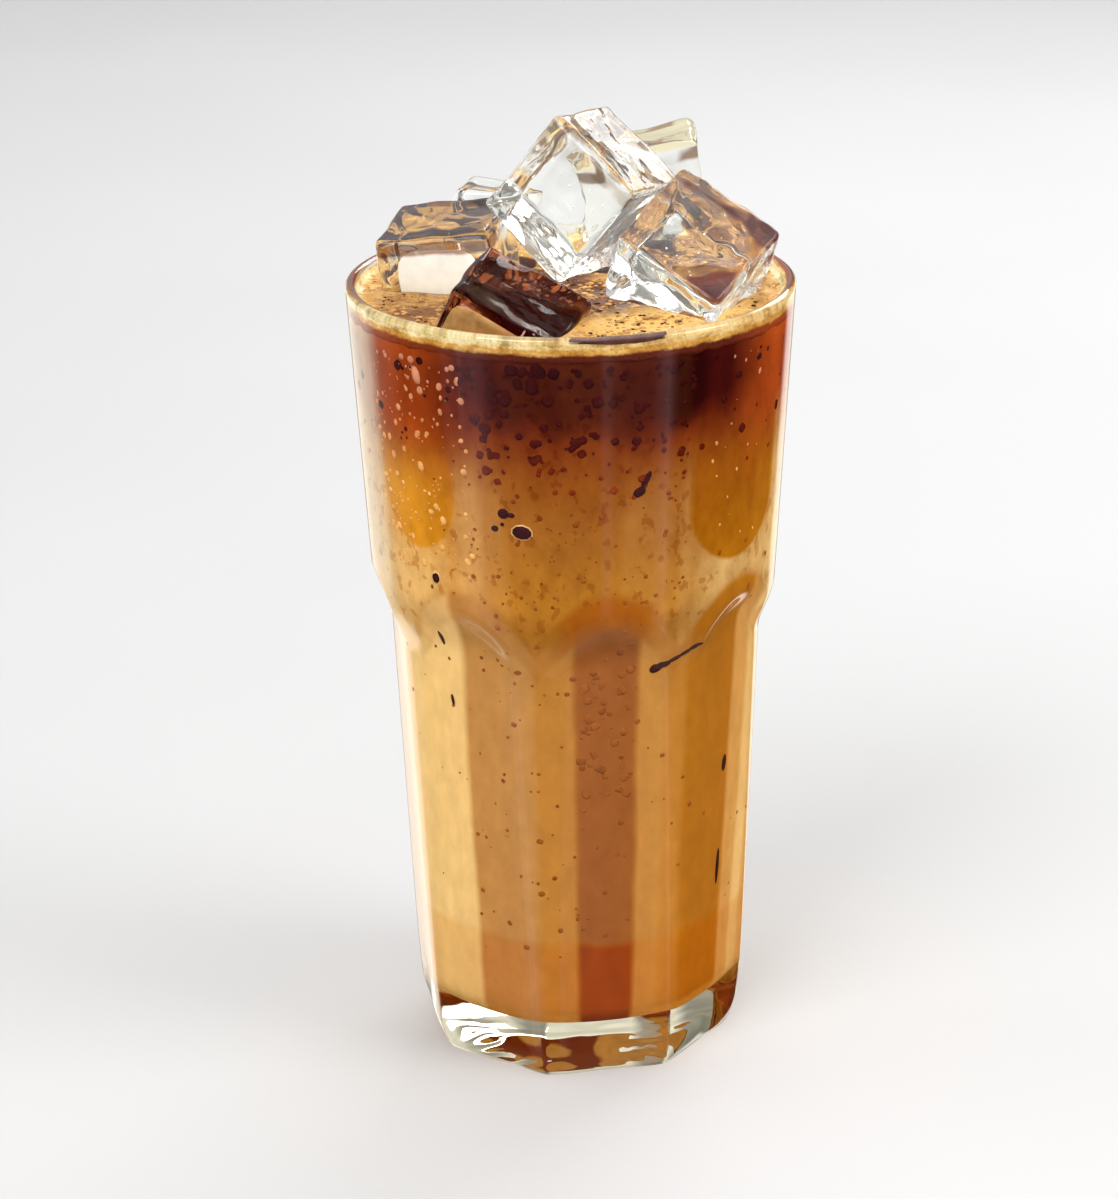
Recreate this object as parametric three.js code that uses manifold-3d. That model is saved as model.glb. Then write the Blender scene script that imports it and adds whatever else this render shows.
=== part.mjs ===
// Iced milk coffee in its tall panelled glass, in millimetres, +Z up.
// The origin is the centre of the underside of the glass.
// The glass is a smooth cone at the top and steps in below it to a tapering body with eight flat panels.
// It holds milk coffee, a layer of black coffee on top of that, a thin foam, and a heap of ice cubes.

import * as THREE from "three";
import { mergeVertices } from "three/addons/utils/BufferGeometryUtils.js";
import Module from "manifold-3d";

const wasm = await Module();
wasm.setup();

// Glass, outside
const GLASS_HEIGHT = 158;
const RIM_RADIUS = 44;
const CONE_FOOT_Z = 100;
const CONE_FOOT_RADIUS = 40.4;
const PANEL_COUNT = 8;
const PANEL_TURN = 10.5; // degrees, from the front to the middle of the first panel
const BODY_TOP_Z = 95;
const RIDGE_TOP_RADIUS = 37.5; // axis to the rounded ridges, at BODY_TOP_Z
const RIDGE_BASE_RADIUS = 33.7; // the same at the base
const PANEL_TOP_RADIUS = 36.2; // axis to the flat of a panel, at BODY_TOP_Z
const PANEL_BASE_RADIUS = 31.4; // the same at the base
const ARCH_TOP_Z = 102; // where the arch over a panel begins
const ARCH_STEP = 8; // height over which the panel is cut in below its arch
const RIDGE_STEP_TOP_Z = 97;
const RIDGE_STEP = 10;
const ARCH_HALF_ANGLE = 16; // degrees
const HEEL_HEIGHT = 7;
const HEEL_INSET = 0.7;
const EDGE_SOFTNESS = 0.4; // rounds the corner between a panel and a ridge
const PANEL_COLUMNS = [-22.5, -18, -14, -7.5, 0, 7.5, 14, 18]; // degrees from the middle of a panel
const HEEL_ROWS = [0, 0.25, 0.6, 1]; // shares of HEEL_HEIGHT
const BODY_ROWS = [30, 60, 82];
const SHOULDER_ROWS = 9;
const CONE_ROWS = [110, 135];

// Glass, inside
const RIM_WALL = 2.2;
const INNER_SHOULDER_TOP_Z = 103;
const INNER_SHOULDER_TOP_RADIUS = 37.8;
const INNER_SHOULDER_FOOT_Z = 89;
const INNER_SHOULDER_FOOT_RADIUS = 33.9;
const FLOOR_Z = 11;
const FLOOR_RADIUS = 29.3;
const FLOOR_CORNER = 4;
const INNER_BODY_ROW = 55;
const INNER_CONE_ROW = 130;
const INNER_SHOULDER_ROWS = 6;

// Drink
const GAP = 0.3;
const FOAM_TOP_Z = 155.6;
const FOAM_BOTTOM_Z = 152.8;
const FOAM_RISE = 0.5; // the foam climbs the wall by this much
const FOAM_RISE_WIDTH = 2.5;
const DRINK_COLUMNS = 56;
const LAYER_Z = 134; // where the black coffee meets the milk coffee

// Ice
const ICE_RADIUS = 1.7;
const ICE_DISH = 0.35; // how far the middle of each face has melted in

// Each cube: where its centre is, its three sides, and its tilt in degrees about X, Y and Z in turn.
const CUBES = [
  { name: "ice_top", at: [2.6, 1.2, 174.4], size: [25, 22.8, 23], tilt: [82, -50, -21] },
  { name: "ice_right", at: [23.2, -9.8, 162.4], size: [24.2, 22.5, 23], tilt: [33, 28, -26] },
  { name: "ice_left", at: [-23.3, 6.5, 157.7], size: [23.4, 20.5, 23], tilt: [9, -6, -14] },
  { name: "ice_front", at: [-13, -23.5, 152.5], size: [23.5, 22, 22], tilt: [13, 28, -14] },
  { name: "ice_back_right", at: [16, 24.2, 169.7], size: [22, 20, 21], tilt: [1, -9, 2] },
  { name: "ice_back_left", at: [-13.8, 26, 160.1], size: [18, 17, 20], tilt: [-4, 4, -12] },
  { name: "ice_back_low", at: [11.5, 22, 147], size: [21, 21.5, 21.5], tilt: [2, -9, -7] },
];

const radians = THREE.MathUtils.degToRad;

// Runs smoothly from 0 below low to 1 above high.
function ease(value, low, high) {
  return THREE.MathUtils.smoothstep(value, low, high);
}

// Straight line through (z0, r0) and (z1, r1), read at z.
function along(z, z0, r0, z1, r1) {
  return r0 + ((r1 - r0) * (z - z0)) / (z1 - z0);
}

// The smaller of two lengths, with the corner between them rounded over `soft`.
function softSmaller(a, b, soft) {
  const share = THREE.MathUtils.clamp(0.5 + (0.5 * (b - a)) / soft, 0, 1);
  return b + (a - b) * share - soft * share * (1 - share);
}

// Builds one closed mesh from rings of points that run up the outside and down the inside.
// Each ring has the same number of points; the first and last rings are closed by a centre point.
function closedRings(rings, firstCentre, lastCentre) {
  const count = rings[0].length;
  const positions = [...firstCentre];
  rings.flat().forEach((point) => positions.push(...point));
  positions.push(...lastCentre);
  const last = positions.length / 3 - 1;
  const faces = [];
  for (let i = 0; i < count; i += 1) {
    const next = (i + 1) % count;
    faces.push(0, 1 + next, 1 + i);
    for (let ring = 0; ring + 1 < rings.length; ring += 1) {
      const low = 1 + ring * count;
      const high = low + count;
      faces.push(low + i, low + next, high + next);
      faces.push(low + i, high + next, high + i);
    }
    faces.push(last, last - count + i, last - count + next);
  }
  const geometry = new THREE.BufferGeometry();
  geometry.setAttribute("position", new THREE.Float32BufferAttribute(positions, 3));
  geometry.setIndex(faces);
  return geometry;
}

// A point at an angle from the front (toward +X), a distance from the axis and a height.
function polar(angle, radius, z) {
  return [radius * Math.sin(angle), -radius * Math.cos(angle), z];
}

// Outer radius of the glass at an angle from the middle of the nearest panel, and a height.
function outerRadius(fromPanel, z) {
  const cone = along(z, CONE_FOOT_Z, CONE_FOOT_RADIUS, GLASS_HEIGHT, RIM_RADIUS);
  const ridge = along(z, 0, RIDGE_BASE_RADIUS, BODY_TOP_Z, RIDGE_TOP_RADIUS);
  const panel = along(z, 0, PANEL_BASE_RADIUS, BODY_TOP_Z, PANEL_TOP_RADIUS);
  const body = softSmaller(ridge, panel / Math.cos(fromPanel), EDGE_SOFTNESS);
  const [stepTop, stepHeight] = shoulder(fromPanel);
  const heel = HEEL_INSET * Math.max(0, 1 - z / HEEL_HEIGHT) ** 2;
  return THREE.MathUtils.lerp(body, cone, ease(z, stepTop - stepHeight, stepTop)) - heel;
}

// Top and height of the step from the cone to the body: an arch over each panel, level over each ridge.
function shoulder(fromPanel) {
  const arch = Math.max(0, 1 - (fromPanel / radians(ARCH_HALF_ANGLE)) ** 2);
  const top = THREE.MathUtils.lerp(RIDGE_STEP_TOP_Z, ARCH_TOP_Z, arch);
  const height = THREE.MathUtils.lerp(RIDGE_STEP, ARCH_STEP, arch);
  return [top, height];
}

// Inner radius of the glass above its floor corner.
function wallRadius(z) {
  if (z >= INNER_SHOULDER_TOP_Z) {
    const rim = RIM_RADIUS - RIM_WALL;
    return along(z, INNER_SHOULDER_TOP_Z, INNER_SHOULDER_TOP_RADIUS, GLASS_HEIGHT, rim);
  }
  if (z >= INNER_SHOULDER_FOOT_Z) {
    const share = ease(z, INNER_SHOULDER_FOOT_Z, INNER_SHOULDER_TOP_Z);
    return THREE.MathUtils.lerp(INNER_SHOULDER_FOOT_RADIUS, INNER_SHOULDER_TOP_RADIUS, share);
  }
  return along(z, FLOOR_Z, FLOOR_RADIUS, INNER_SHOULDER_FOOT_Z, INNER_SHOULDER_FOOT_RADIUS);
}

const CORNER_Z = FLOOR_Z + FLOOR_CORNER;
const FLAT_FLOOR_RADIUS = wallRadius(CORNER_Z) - FLOOR_CORNER;

// Radius and height of points up the inner wall, from the flat floor to the rim, moved in by `gap`.
function wallPoints(gap) {
  const corner = FLOOR_CORNER - gap;
  const points = [0, 30, 60, 90].map(radians).map((turn) => [
    FLAT_FLOOR_RADIUS + corner * Math.sin(turn),
    CORNER_Z - corner * Math.cos(turn),
  ]);
  const heights = [INNER_BODY_ROW];
  for (let row = 0; row < INNER_SHOULDER_ROWS; row += 1) {
    const share = row / (INNER_SHOULDER_ROWS - 1);
    heights.push(THREE.MathUtils.lerp(INNER_SHOULDER_FOOT_Z, INNER_SHOULDER_TOP_Z, share));
  }
  heights.push(INNER_CONE_ROW, GLASS_HEIGHT - RIM_WALL / 2);
  heights.forEach((z) => points.push([wallRadius(z) - gap, z]));
  return points;
}

// The glass: underside, outside with its panels and arches, rounded rim, inside and floor.
function glass() {
  const columns = [];
  for (let panel = 0; panel < PANEL_COUNT; panel += 1) {
    const middle = radians(PANEL_TURN + (panel * 360) / PANEL_COUNT);
    PANEL_COLUMNS.map(radians).forEach((fromPanel) => {
      columns.push({ angle: middle + fromPanel, fromPanel });
    });
  }
  const ring = (radiusAt, zAt) =>
    columns.map((column) => {
      const z = zAt(column);
      return polar(column.angle, radiusAt(column, z), z);
    });
  const outside = (zAt) => ring((column, z) => outerRadius(column.fromPanel, z), zAt);
  const round = (radius, z) => ring(() => radius, () => z);

  const rings = [];
  HEEL_ROWS.forEach((share) => rings.push(outside(() => share * HEEL_HEIGHT)));
  BODY_ROWS.forEach((z) => rings.push(outside(() => z)));
  for (let row = 0; row < SHOULDER_ROWS; row += 1) {
    const share = row / (SHOULDER_ROWS - 1);
    rings.push(
      outside(({ fromPanel }) => {
        const [top, height] = shoulder(fromPanel);
        return top - height * (1 - share);
      }),
    );
  }
  const lip = RIM_WALL / 2;
  [...CONE_ROWS, GLASS_HEIGHT - lip].forEach((z) => rings.push(outside(() => z)));
  [60, 90, 120].map(radians).forEach((turn) => {
    const radius = RIM_RADIUS - lip + lip * Math.cos(turn);
    rings.push(round(radius, GLASS_HEIGHT - lip + lip * Math.sin(turn)));
  });

  wallPoints(0)
    .reverse()
    .forEach(([radius, z]) => rings.push(round(radius, z)));
  return closedRings(rings, [0, 0, 0], [0, 0, FLOOR_Z]);
}

// A round layer of the drink between two heights, clear of the wall.
// `rise` lifts its top edge where it meets the wall.
function layer(bottom, top, rise = 0) {
  const wall = wallPoints(GAP).filter(([, z]) => z > bottom && z < top);
  const foot = bottom > CORNER_Z ? wallRadius(bottom) - GAP : FLAT_FLOOR_RADIUS;
  const edge = wallRadius(top) - GAP;
  const outline = [[0, bottom], [foot, bottom], ...wall, [edge, top + rise]];
  if (rise > 0) {
    outline.push([edge - FOAM_RISE_WIDTH, top]);
  }
  outline.push([0, top]);
  const profile = outline.map(([radius, z]) => new THREE.Vector2(radius, z));
  return new THREE.LatheGeometry(profile, DRINK_COLUMNS).rotateX(Math.PI / 2);
}

// Strips a geometry to its corners and joins those that coincide.
function welded(geometry) {
  const bare = geometry.clone();
  bare.deleteAttribute("uv");
  bare.deleteAttribute("normal");
  return mergeVertices(bare, 1e-3);
}

// An ice cube: a box with rounded edges, each face slightly hollowed, centred on the origin.
// It starts as a grid from -2 to 2 on each face: 0 is the middle, 1 the end of the flat and 2 the edge.
function iceBlock(size, grow = 0) {
  const round = ICE_RADIUS + grow;
  const flat = size.map((side) => side / 2 + grow - round);
  const block = welded(new THREE.BoxGeometry(4, 4, 4, 4, 4, 4));
  const place = block.getAttribute("position");
  for (let i = 0; i < place.count; i += 1) {
    const cell = [place.getX(i), place.getY(i), place.getZ(i)];
    const outward = cell.map((step) => Math.trunc(step / 2));
    const middles = cell.filter((step) => step === 0).length;
    const depth = middles === 2 ? round - ICE_DISH : round;
    const reach = depth / Math.hypot(...outward);
    const point = cell.map((step, axis) => Math.sign(step) * flat[axis] + outward[axis] * reach);
    place.setXYZ(i, ...point);
  }
  return block;
}

// Copies a geometry into a manifold solid.
function solidOf(geometry) {
  const bare = welded(geometry);
  return new wasm.Manifold(
    new wasm.Mesh({
      numProp: 3,
      vertProperties: bare.getAttribute("position").array,
      triVerts: new Uint32Array(bare.index.array),
    }),
  );
}

// Copies a manifold solid back into a geometry.
function geometryOf(solid) {
  const mesh = solid.getMesh();
  const geometry = new THREE.BufferGeometry();
  geometry.setAttribute("position", new THREE.BufferAttribute(mesh.vertProperties, 3));
  geometry.setIndex(new THREE.BufferAttribute(mesh.triVerts, 1));
  return geometry;
}

// Puts a mesh where its cube lies in the glass.
function lay(mesh, cube) {
  mesh.position.set(...cube.at);
  mesh.rotation.set(...cube.tilt.map(radians), "ZYX");
  mesh.updateMatrix();
  return mesh;
}

// Cuts the ice out of a layer of the drink, with a gap, and keeps the one body that is left.
function aroundIce(geometry) {
  let solid = solidOf(geometry);
  CUBES.forEach((cube) => {
    const pocket = iceBlock(cube.size, GAP);
    const { matrix } = lay(new THREE.Object3D(), cube);
    solid = solid.subtract(solidOf(pocket.applyMatrix4(matrix)));
  });
  const bodies = solid.decompose();
  bodies.sort((a, b) => b.volume() - a.volume());
  return geometryOf(bodies[0]);
}

// The look of each material
const LOOKS = {
  glass: { color: 0xf2f4f0, roughness: 0.03, metalness: 0, transparent: true, opacity: 0.35 },
  milk: { color: 0xc2803f, roughness: 0.35, metalness: 0 },
  black: { color: 0x3b1208, roughness: 0.15, metalness: 0 },
  foam: { color: 0xd9a45a, roughness: 0.7, metalness: 0 },
  ice: { color: 0xe9ece6, roughness: 0.05, metalness: 0, transparent: true, opacity: 0.6 },
};

// A named mesh with its own material.
function part(name, geometry, look) {
  geometry.computeVertexNormals();
  const mesh = new THREE.Mesh(geometry, new THREE.MeshStandardMaterial(LOOKS[look]));
  mesh.name = name;
  return mesh;
}

const drink = new THREE.Group();
drink.add(part("glass", glass(), "glass"));

const floor = FLOOR_Z + GAP;
const milkTop = LAYER_Z - GAP / 2;
const blackBottom = LAYER_Z + GAP / 2;
const blackTop = FOAM_BOTTOM_Z - GAP;
drink.add(part("milk_coffee", aroundIce(layer(floor, milkTop)), "milk"));
drink.add(part("black_coffee", aroundIce(layer(blackBottom, blackTop)), "black"));
drink.add(part("foam", aroundIce(layer(FOAM_BOTTOM_Z, FOAM_TOP_Z, FOAM_RISE)), "foam"));

CUBES.forEach((cube) => {
  drink.add(lay(part(cube.name, iceBlock(cube.size), "ice"), cube));
});

export default drink;
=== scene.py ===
# Looks of the iced milk coffee: fine glass, layered drink, foam, bubbles, specks and ice, on a pale floor.
import math

import bpy
import numpy as np
from mathutils import Matrix, Vector


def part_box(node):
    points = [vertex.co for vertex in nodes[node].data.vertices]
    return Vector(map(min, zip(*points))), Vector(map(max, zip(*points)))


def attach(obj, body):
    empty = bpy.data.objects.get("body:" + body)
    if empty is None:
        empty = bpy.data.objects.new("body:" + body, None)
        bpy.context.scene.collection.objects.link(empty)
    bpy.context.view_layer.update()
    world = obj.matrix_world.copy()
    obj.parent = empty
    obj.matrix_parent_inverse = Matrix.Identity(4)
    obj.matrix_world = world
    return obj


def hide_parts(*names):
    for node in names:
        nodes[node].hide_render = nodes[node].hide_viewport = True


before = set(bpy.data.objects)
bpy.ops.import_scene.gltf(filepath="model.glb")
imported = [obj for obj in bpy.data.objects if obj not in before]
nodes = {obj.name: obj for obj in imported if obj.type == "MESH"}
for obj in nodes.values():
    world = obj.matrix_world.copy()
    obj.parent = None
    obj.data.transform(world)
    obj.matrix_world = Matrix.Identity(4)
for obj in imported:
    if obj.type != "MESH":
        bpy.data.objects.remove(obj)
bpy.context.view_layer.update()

MM = 0.001

# Glass, in millimetres, with the same profile as its solid
GLASS_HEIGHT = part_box("glass")[1].z / MM
RIM_RADIUS = 44.0
CONE_FOOT = (100.0, 40.4)  # height and radius
PANEL_COUNT = 8
PANEL_TURN = math.radians(10.5)
HALF_PANEL = math.pi / PANEL_COUNT
BODY_TOP_Z = 95.0
RIDGE_RADII = (33.7, 37.5)  # at the base and at BODY_TOP_Z
PANEL_RADII = (31.4, 36.2)
ARCH_TOP = (102.0, 8.0)  # top and height of the step over the middle of a panel
RIDGE_STEP = (97.0, 10.0)  # the same over a ridge
ARCH_HALF_ANGLE = math.radians(16.0)
HEEL_HEIGHT = 7.0
HEEL_INSET = 1.9
EDGE_SOFTNESS = (1.6, 0.8)  # of the ridges, below and above EDGE_HEIGHTS
EDGE_HEIGHTS = (2.0, 24.0)
HOLLOW_RADIUS = 26.5  # the slight dome pressed into the underside
HOLLOW_RISE = 1.2
RIM_WALL = 2.2
INNER_SHOULDER_TOP = (103.0, 37.8)
INNER_SHOULDER_FOOT = (89.0, 33.9)
FLOOR_Z = 11.0
FLOOR_RADIUS = 29.3
FLOOR_CORNER = 4.0

# Unevenness of the thick foot: waves as seed, count, length and depth, and where they fade
PRESSED_DEPTH = 0.15
PRESSED_INSET = 2.2 * PRESSED_DEPTH  # keeps the waves within the solid
FOOT_WAVES = (3, 14, 14.0, PRESSED_DEPTH)
FOOT_HEIGHTS = (3.0, 16.0)
FOOT_RADII = (2.0, 12.0)
UNDERSIDE_WAVES = (9, 12, 13.0, PRESSED_DEPTH)
UNDERSIDE_RADII = (20.0, 28.0)

# Drink
FOAM_TOP_Z = 155.6
FOAM_BOTTOM_Z = 152.8
FOAM_CLIMB = 1.3  # the froth's height on the wall above its top
FOAM_SLOPE = 3.0  # how far from the wall that climb starts
FOAM_OUT = 0.04  # the froth reaches this much further out than the drink
FOAM_FOOT_RING = 0.6  # a ring of points under the froth, this far inside its edge
FOAM_FOOT_WAVES = (5, 16, 3.6, 0.22)
FOAM_TOP_WAVES = (31, 12, 9.0, 0.16)
FOAM_TOP_INSET = 0.8  # those of the top stay this far from the wall
INTO_FOAM = 0.8
INTO_WALL = 0.12  # the drink reaches this far into the glass, so that no air shows between them
INTO_ICE = 0.12
DRINK_COLUMNS = 192

# Ice
ICE_ROUND = 1.7
ICE_DISH = 0.35
ICE_WAVE = 0.30
ICE_WAVE_LENGTH = 13.0
ICE_RIPPLE = 0.07
ICE_RIPPLE_LENGTH = 5.0
ICE_GRID = 34
ICE_GRID_CROWDING = 1.35  # above 1 for points closer together near the edges
ICE_NAMES = sorted(name for name in nodes if name.startswith("ice_"))


# Meshes

def add_piece(name, points, faces, material):
    """A smooth mesh object from points in millimetres and a list of faces."""
    mesh = bpy.data.meshes.new(name)
    mesh.from_pydata((np.asarray(points, float) * MM).tolist(), [], [list(map(int, f)) for f in faces])
    mesh.validate()
    mesh.update()
    mesh.materials.append(material)
    mesh.shade_smooth()
    piece = bpy.data.objects.new(name, mesh)
    bpy.context.scene.collection.objects.link(piece)
    return piece


def finish_piece(piece, replaced=()):
    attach(piece, "root")
    if replaced:
        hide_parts(*replaced)


def ring_faces(rings, columns):
    """Quads between rings of equal count, and fans to a first and a last centre point."""
    i = np.arange(columns)
    j = (i + 1) % columns
    faces = [(0, 1 + b, 1 + a) for a, b in zip(i, j)]
    for ring in range(rings - 1):
        low = 1 + ring * columns
        high = low + columns
        faces += [(low + a, low + b, high + b, high + a) for a, b in zip(i, j)]
    top = 1 + (rings - 1) * columns
    last = 1 + rings * columns
    faces += [(last, top + a, top + b) for a, b in zip(i, j)]
    return faces


def around(columns):
    return np.arange(columns) * math.tau / columns


def polar(angle, radius, z):
    """Points at an angle from the front, toward +X."""
    angle, radius, z = np.broadcast_arrays(angle, radius, z)
    return np.stack([radius * np.sin(angle), -radius * np.cos(angle), z], -1)


def revolved(profile, columns):
    """Points of a shape of revolution. The profile starts and ends on the axis."""
    angle = around(columns)
    rings = [polar(angle, r, z) for r, z in profile[1:-1]]
    ends = [np.array([[0, 0, z]]) for _, z in (profile[0], profile[-1])]
    return np.concatenate([ends[0], *rings, ends[1]]), ring_faces(len(rings), columns)


def waves(points, seed, count, length, depth):
    """A sum of seeded sine waves over points."""
    draw = np.random.default_rng(seed)
    total = np.zeros(len(points))
    for _ in range(count):
        way = draw.normal(size=3)
        way /= np.linalg.norm(way)
        size = length * draw.uniform(0.6, 1.6)
        total += np.sin(points @ way * math.tau / size + draw.uniform(0, math.tau))
    return total * depth / math.sqrt(count)


# Profile of the glass

def ease(value, low, high):
    share = np.clip((value - low) / (high - low), 0, 1)
    return share * share * (3 - 2 * share)


def along(z, z0, r0, z1, r1):
    return r0 + (r1 - r0) * (z - z0) / (z1 - z0)


def soft_smaller(a, b, soft):
    share = np.clip(0.5 + 0.5 * (b - a) / soft, 0, 1)
    return b + (a - b) * share - soft * share * (1 - share)


def shoulder(from_panel):
    """Top and height of the step from the cone to the body."""
    arch = np.maximum(0, 1 - (from_panel / ARCH_HALF_ANGLE) ** 2)
    top = RIDGE_STEP[0] + (ARCH_TOP[0] - RIDGE_STEP[0]) * arch
    return top, RIDGE_STEP[1] + (ARCH_TOP[1] - RIDGE_STEP[1]) * arch


def outer_radius(from_panel, z):
    cone = along(z, *CONE_FOOT, GLASS_HEIGHT, RIM_RADIUS)
    ridge = along(z, 0, RIDGE_RADII[0], BODY_TOP_Z, RIDGE_RADII[1])
    panel = along(z, 0, PANEL_RADII[0], BODY_TOP_Z, PANEL_RADII[1])
    soft = EDGE_SOFTNESS[0] + (EDGE_SOFTNESS[1] - EDGE_SOFTNESS[0]) * ease(z, *EDGE_HEIGHTS)
    body = soft_smaller(ridge, panel / np.cos(from_panel), soft)
    top, height = shoulder(from_panel)
    share = ease(z, top - height, top)
    heel = HEEL_INSET * np.maximum(0, 1 - z / HEEL_HEIGHT) ** 2
    return body + (cone - body) * share - heel


def wall_radius(z):
    """Inner radius of the glass above its floor corner."""
    z = np.asarray(z, float)
    top_z, top_radius = INNER_SHOULDER_TOP
    foot_z, foot_radius = INNER_SHOULDER_FOOT
    upper = along(z, top_z, top_radius, GLASS_HEIGHT, RIM_RADIUS - RIM_WALL)
    middle = foot_radius + (top_radius - foot_radius) * ease(z, foot_z, top_z)
    lower = along(z, FLOOR_Z, FLOOR_RADIUS, foot_z, foot_radius)
    return np.where(z >= top_z, upper, np.where(z >= foot_z, middle, lower))


CORNER_Z = FLOOR_Z + FLOOR_CORNER
FLAT_FLOOR_RADIUS = float(wall_radius(CORNER_Z)) - FLOOR_CORNER


def wall_profile(out, top):
    """Points (radius, height) up the inner wall from the flat floor, moved outward by `out`."""
    corner = FLOOR_CORNER + out
    turns = np.radians(np.linspace(0, 90, 10))
    points = [(FLAT_FLOOR_RADIUS * share, CORNER_Z - corner) for share in (0.35, 0.7)]
    points += [(FLAT_FLOOR_RADIUS + corner * math.sin(t), CORNER_Z - corner * math.cos(t)) for t in turns]
    heights = [*np.linspace(CORNER_Z, INNER_SHOULDER_FOOT[0], 16)[1:-1]]
    heights += [*np.linspace(INNER_SHOULDER_FOOT[0], INNER_SHOULDER_TOP[0], 14)]
    heights += [*np.linspace(INNER_SHOULDER_TOP[0], top, 14)[1:]]
    return points + [(float(wall_radius(z)) + out, z) for z in heights]


# Nodes of materials. Each function adds to a tree, and its values are numbers or sockets.

def feed(tree, value, socket):
    """Gives an input a number, a vector, a linear colour or the output of another node."""
    if isinstance(value, bpy.types.NodeSocket):
        tree.links.new(value, socket)
    elif socket.type == "RGBA":
        socket.default_value = (*value, 1)
    else:
        socket.default_value = value


def put(tree, kind, **inputs):
    """A node with inputs given by name (_ for space)."""
    node = tree.nodes.new(kind)
    for name, value in inputs.items():
        feed(tree, value, node.inputs[name.replace("_", " ")])
    return node


def maths(tree, operation, *values, kind="ShaderNodeMath", result="Value"):
    """The result of a Math node, or of a Vector Math node where that kind is given."""
    node = tree.nodes.new(kind)
    node.operation = operation
    for socket, value in zip(node.inputs, values):
        feed(tree, value, socket)
    return node.outputs[result]


def minus(tree, first, second):
    return maths(tree, "SUBTRACT", first, second)


def inverse(tree, share):
    return minus(tree, 1.0, share)


def times(tree, *values):
    product = values[0]
    for value in values[1:]:
        product = maths(tree, "MULTIPLY", product, value)
    return product


def scaled(tree, value, factor, base):
    """A value times a factor, plus a base."""
    return maths(tree, "MULTIPLY_ADD", value, factor, base)


def stretch(tree, value, low, high, ends="SMOOTHSTEP"):
    """A value mapped from low..high to 0..1, with soft ends unless they are LINEAR."""
    node = put(tree, "ShaderNodeMapRange", Value=value, From_Min=low, From_Max=high)
    node.interpolation_type = ends
    return node.outputs["Result"]


def ragged(tree, value, uneven, shift, low, high):
    """The same, with the value first shifted by noise."""
    return stretch(tree, scaled(tree, uneven, shift, value), low, high)


def noise(tree, place, scale, detail=2.0, roughness=0.5, squash=(1, 1, 1)):
    """Noise over a place, finer along an axis whose squash is larger."""
    resized = put(tree, "ShaderNodeMapping", Vector=place, Scale=squash).outputs[0]
    node = put(tree, "ShaderNodeTexNoise", Vector=resized, Scale=scale, Detail=detail, Roughness=roughness)
    return node.outputs["Fac"]


def object_place(tree):
    return put(tree, "ShaderNodeTexCoord").outputs["Object"]


def axes_of(tree, place):
    """The X, Y and Z of a place."""
    return put(tree, "ShaderNodeSeparateXYZ", Vector=place).outputs


def radius_from_axis(tree, place):
    flat = maths(tree, "MULTIPLY", place, (1, 1, 0), kind="ShaderNodeVectorMath", result="Vector")
    return maths(tree, "LENGTH", flat, kind="ShaderNodeVectorMath")


def turn_of(tree, x, y):
    """Direction in radians from the front, toward +X."""
    return maths(tree, "ARCTAN2", x, times(tree, y, -1.0))


def half_turn_of(tree, turn):
    """0 to 1 from -90 to 90 degrees from the front, and again over the back."""
    return maths(tree, "FLOORED_MODULO", maths(tree, "ADD", maths(tree, "DIVIDE", turn, math.pi), 0.5), 1.0)


def srgb(code):
    """Linear colour of a hex code."""
    values = [int(code[i:i + 2], 16) / 255 for i in (0, 2, 4)]
    return tuple(v / 12.92 if v <= 0.04045 else ((v + 0.055) / 1.055) ** 2.4 for v in values)


def ramp(tree, value, stops):
    """Colour by value, from (value, colour) stops. A colour is linear, one grey value or a hex code."""
    node = put(tree, "ShaderNodeValToRGB", Fac=value)
    elements = node.color_ramp.elements
    elements.remove(elements[1])
    elements[0].position = stops[0][0]
    for number, (place, colour) in enumerate(stops):
        stop = elements.new(place) if number else elements[0]
        colour = srgb(colour) if isinstance(colour, str) else np.broadcast_to(colour, 3)
        stop.color = (*colour, 1)
    return node.outputs["Color"]


def by_height(tree, z, tones):
    """Colour by height, from tones with their heights in millimetres."""
    low, high = tones[0][0], tones[-1][0]
    share = stretch(tree, z, low * MM, high * MM, "LINEAR")
    return ramp(tree, share, [((height - low) / (high - low), code) for height, code in tones])


def by_angle(tree, half_turn, table):
    """A value by angle, from a table of degrees and values."""
    low = min(value for _, value in table)
    span = max(value for _, value in table) - low
    stops = [((angle + 90) / 180, (value - low) / span) for angle, value in table]
    return scaled(tree, ramp(tree, half_turn, stops), span, low)


def blend(tree, share, first, second, mode="MIX"):
    """Two colours mixed, each one a socket or a linear colour."""
    node = tree.nodes.new("ShaderNodeMix")
    node.data_type = "RGBA"
    node.blend_type = mode
    for name, kind, value in (("Factor", "VALUE", share), ("A", "RGBA", first), ("B", "RGBA", second)):
        # a Mix node has one socket of each name for every kind of data
        feed(tree, value, next(i for i in node.inputs if i.name == name and i.type == kind))
    return next(o for o in node.outputs if o.type == "RGBA")


def pass_lamps(tree, surface):
    """Lets lamp light pass a clear surface without bending, as light does through thin glass."""
    to_lamp = put(tree, "ShaderNodeLightPath").outputs["Is Shadow Ray"]
    clear = put(tree, "ShaderNodeBsdfTransparent").outputs[0]
    mix = put(tree, "ShaderNodeMixShader")
    for socket, value in zip(mix.inputs, (to_lamp, surface, clear)):
        feed(tree, value, socket)
    return mix.outputs[0]


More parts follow.
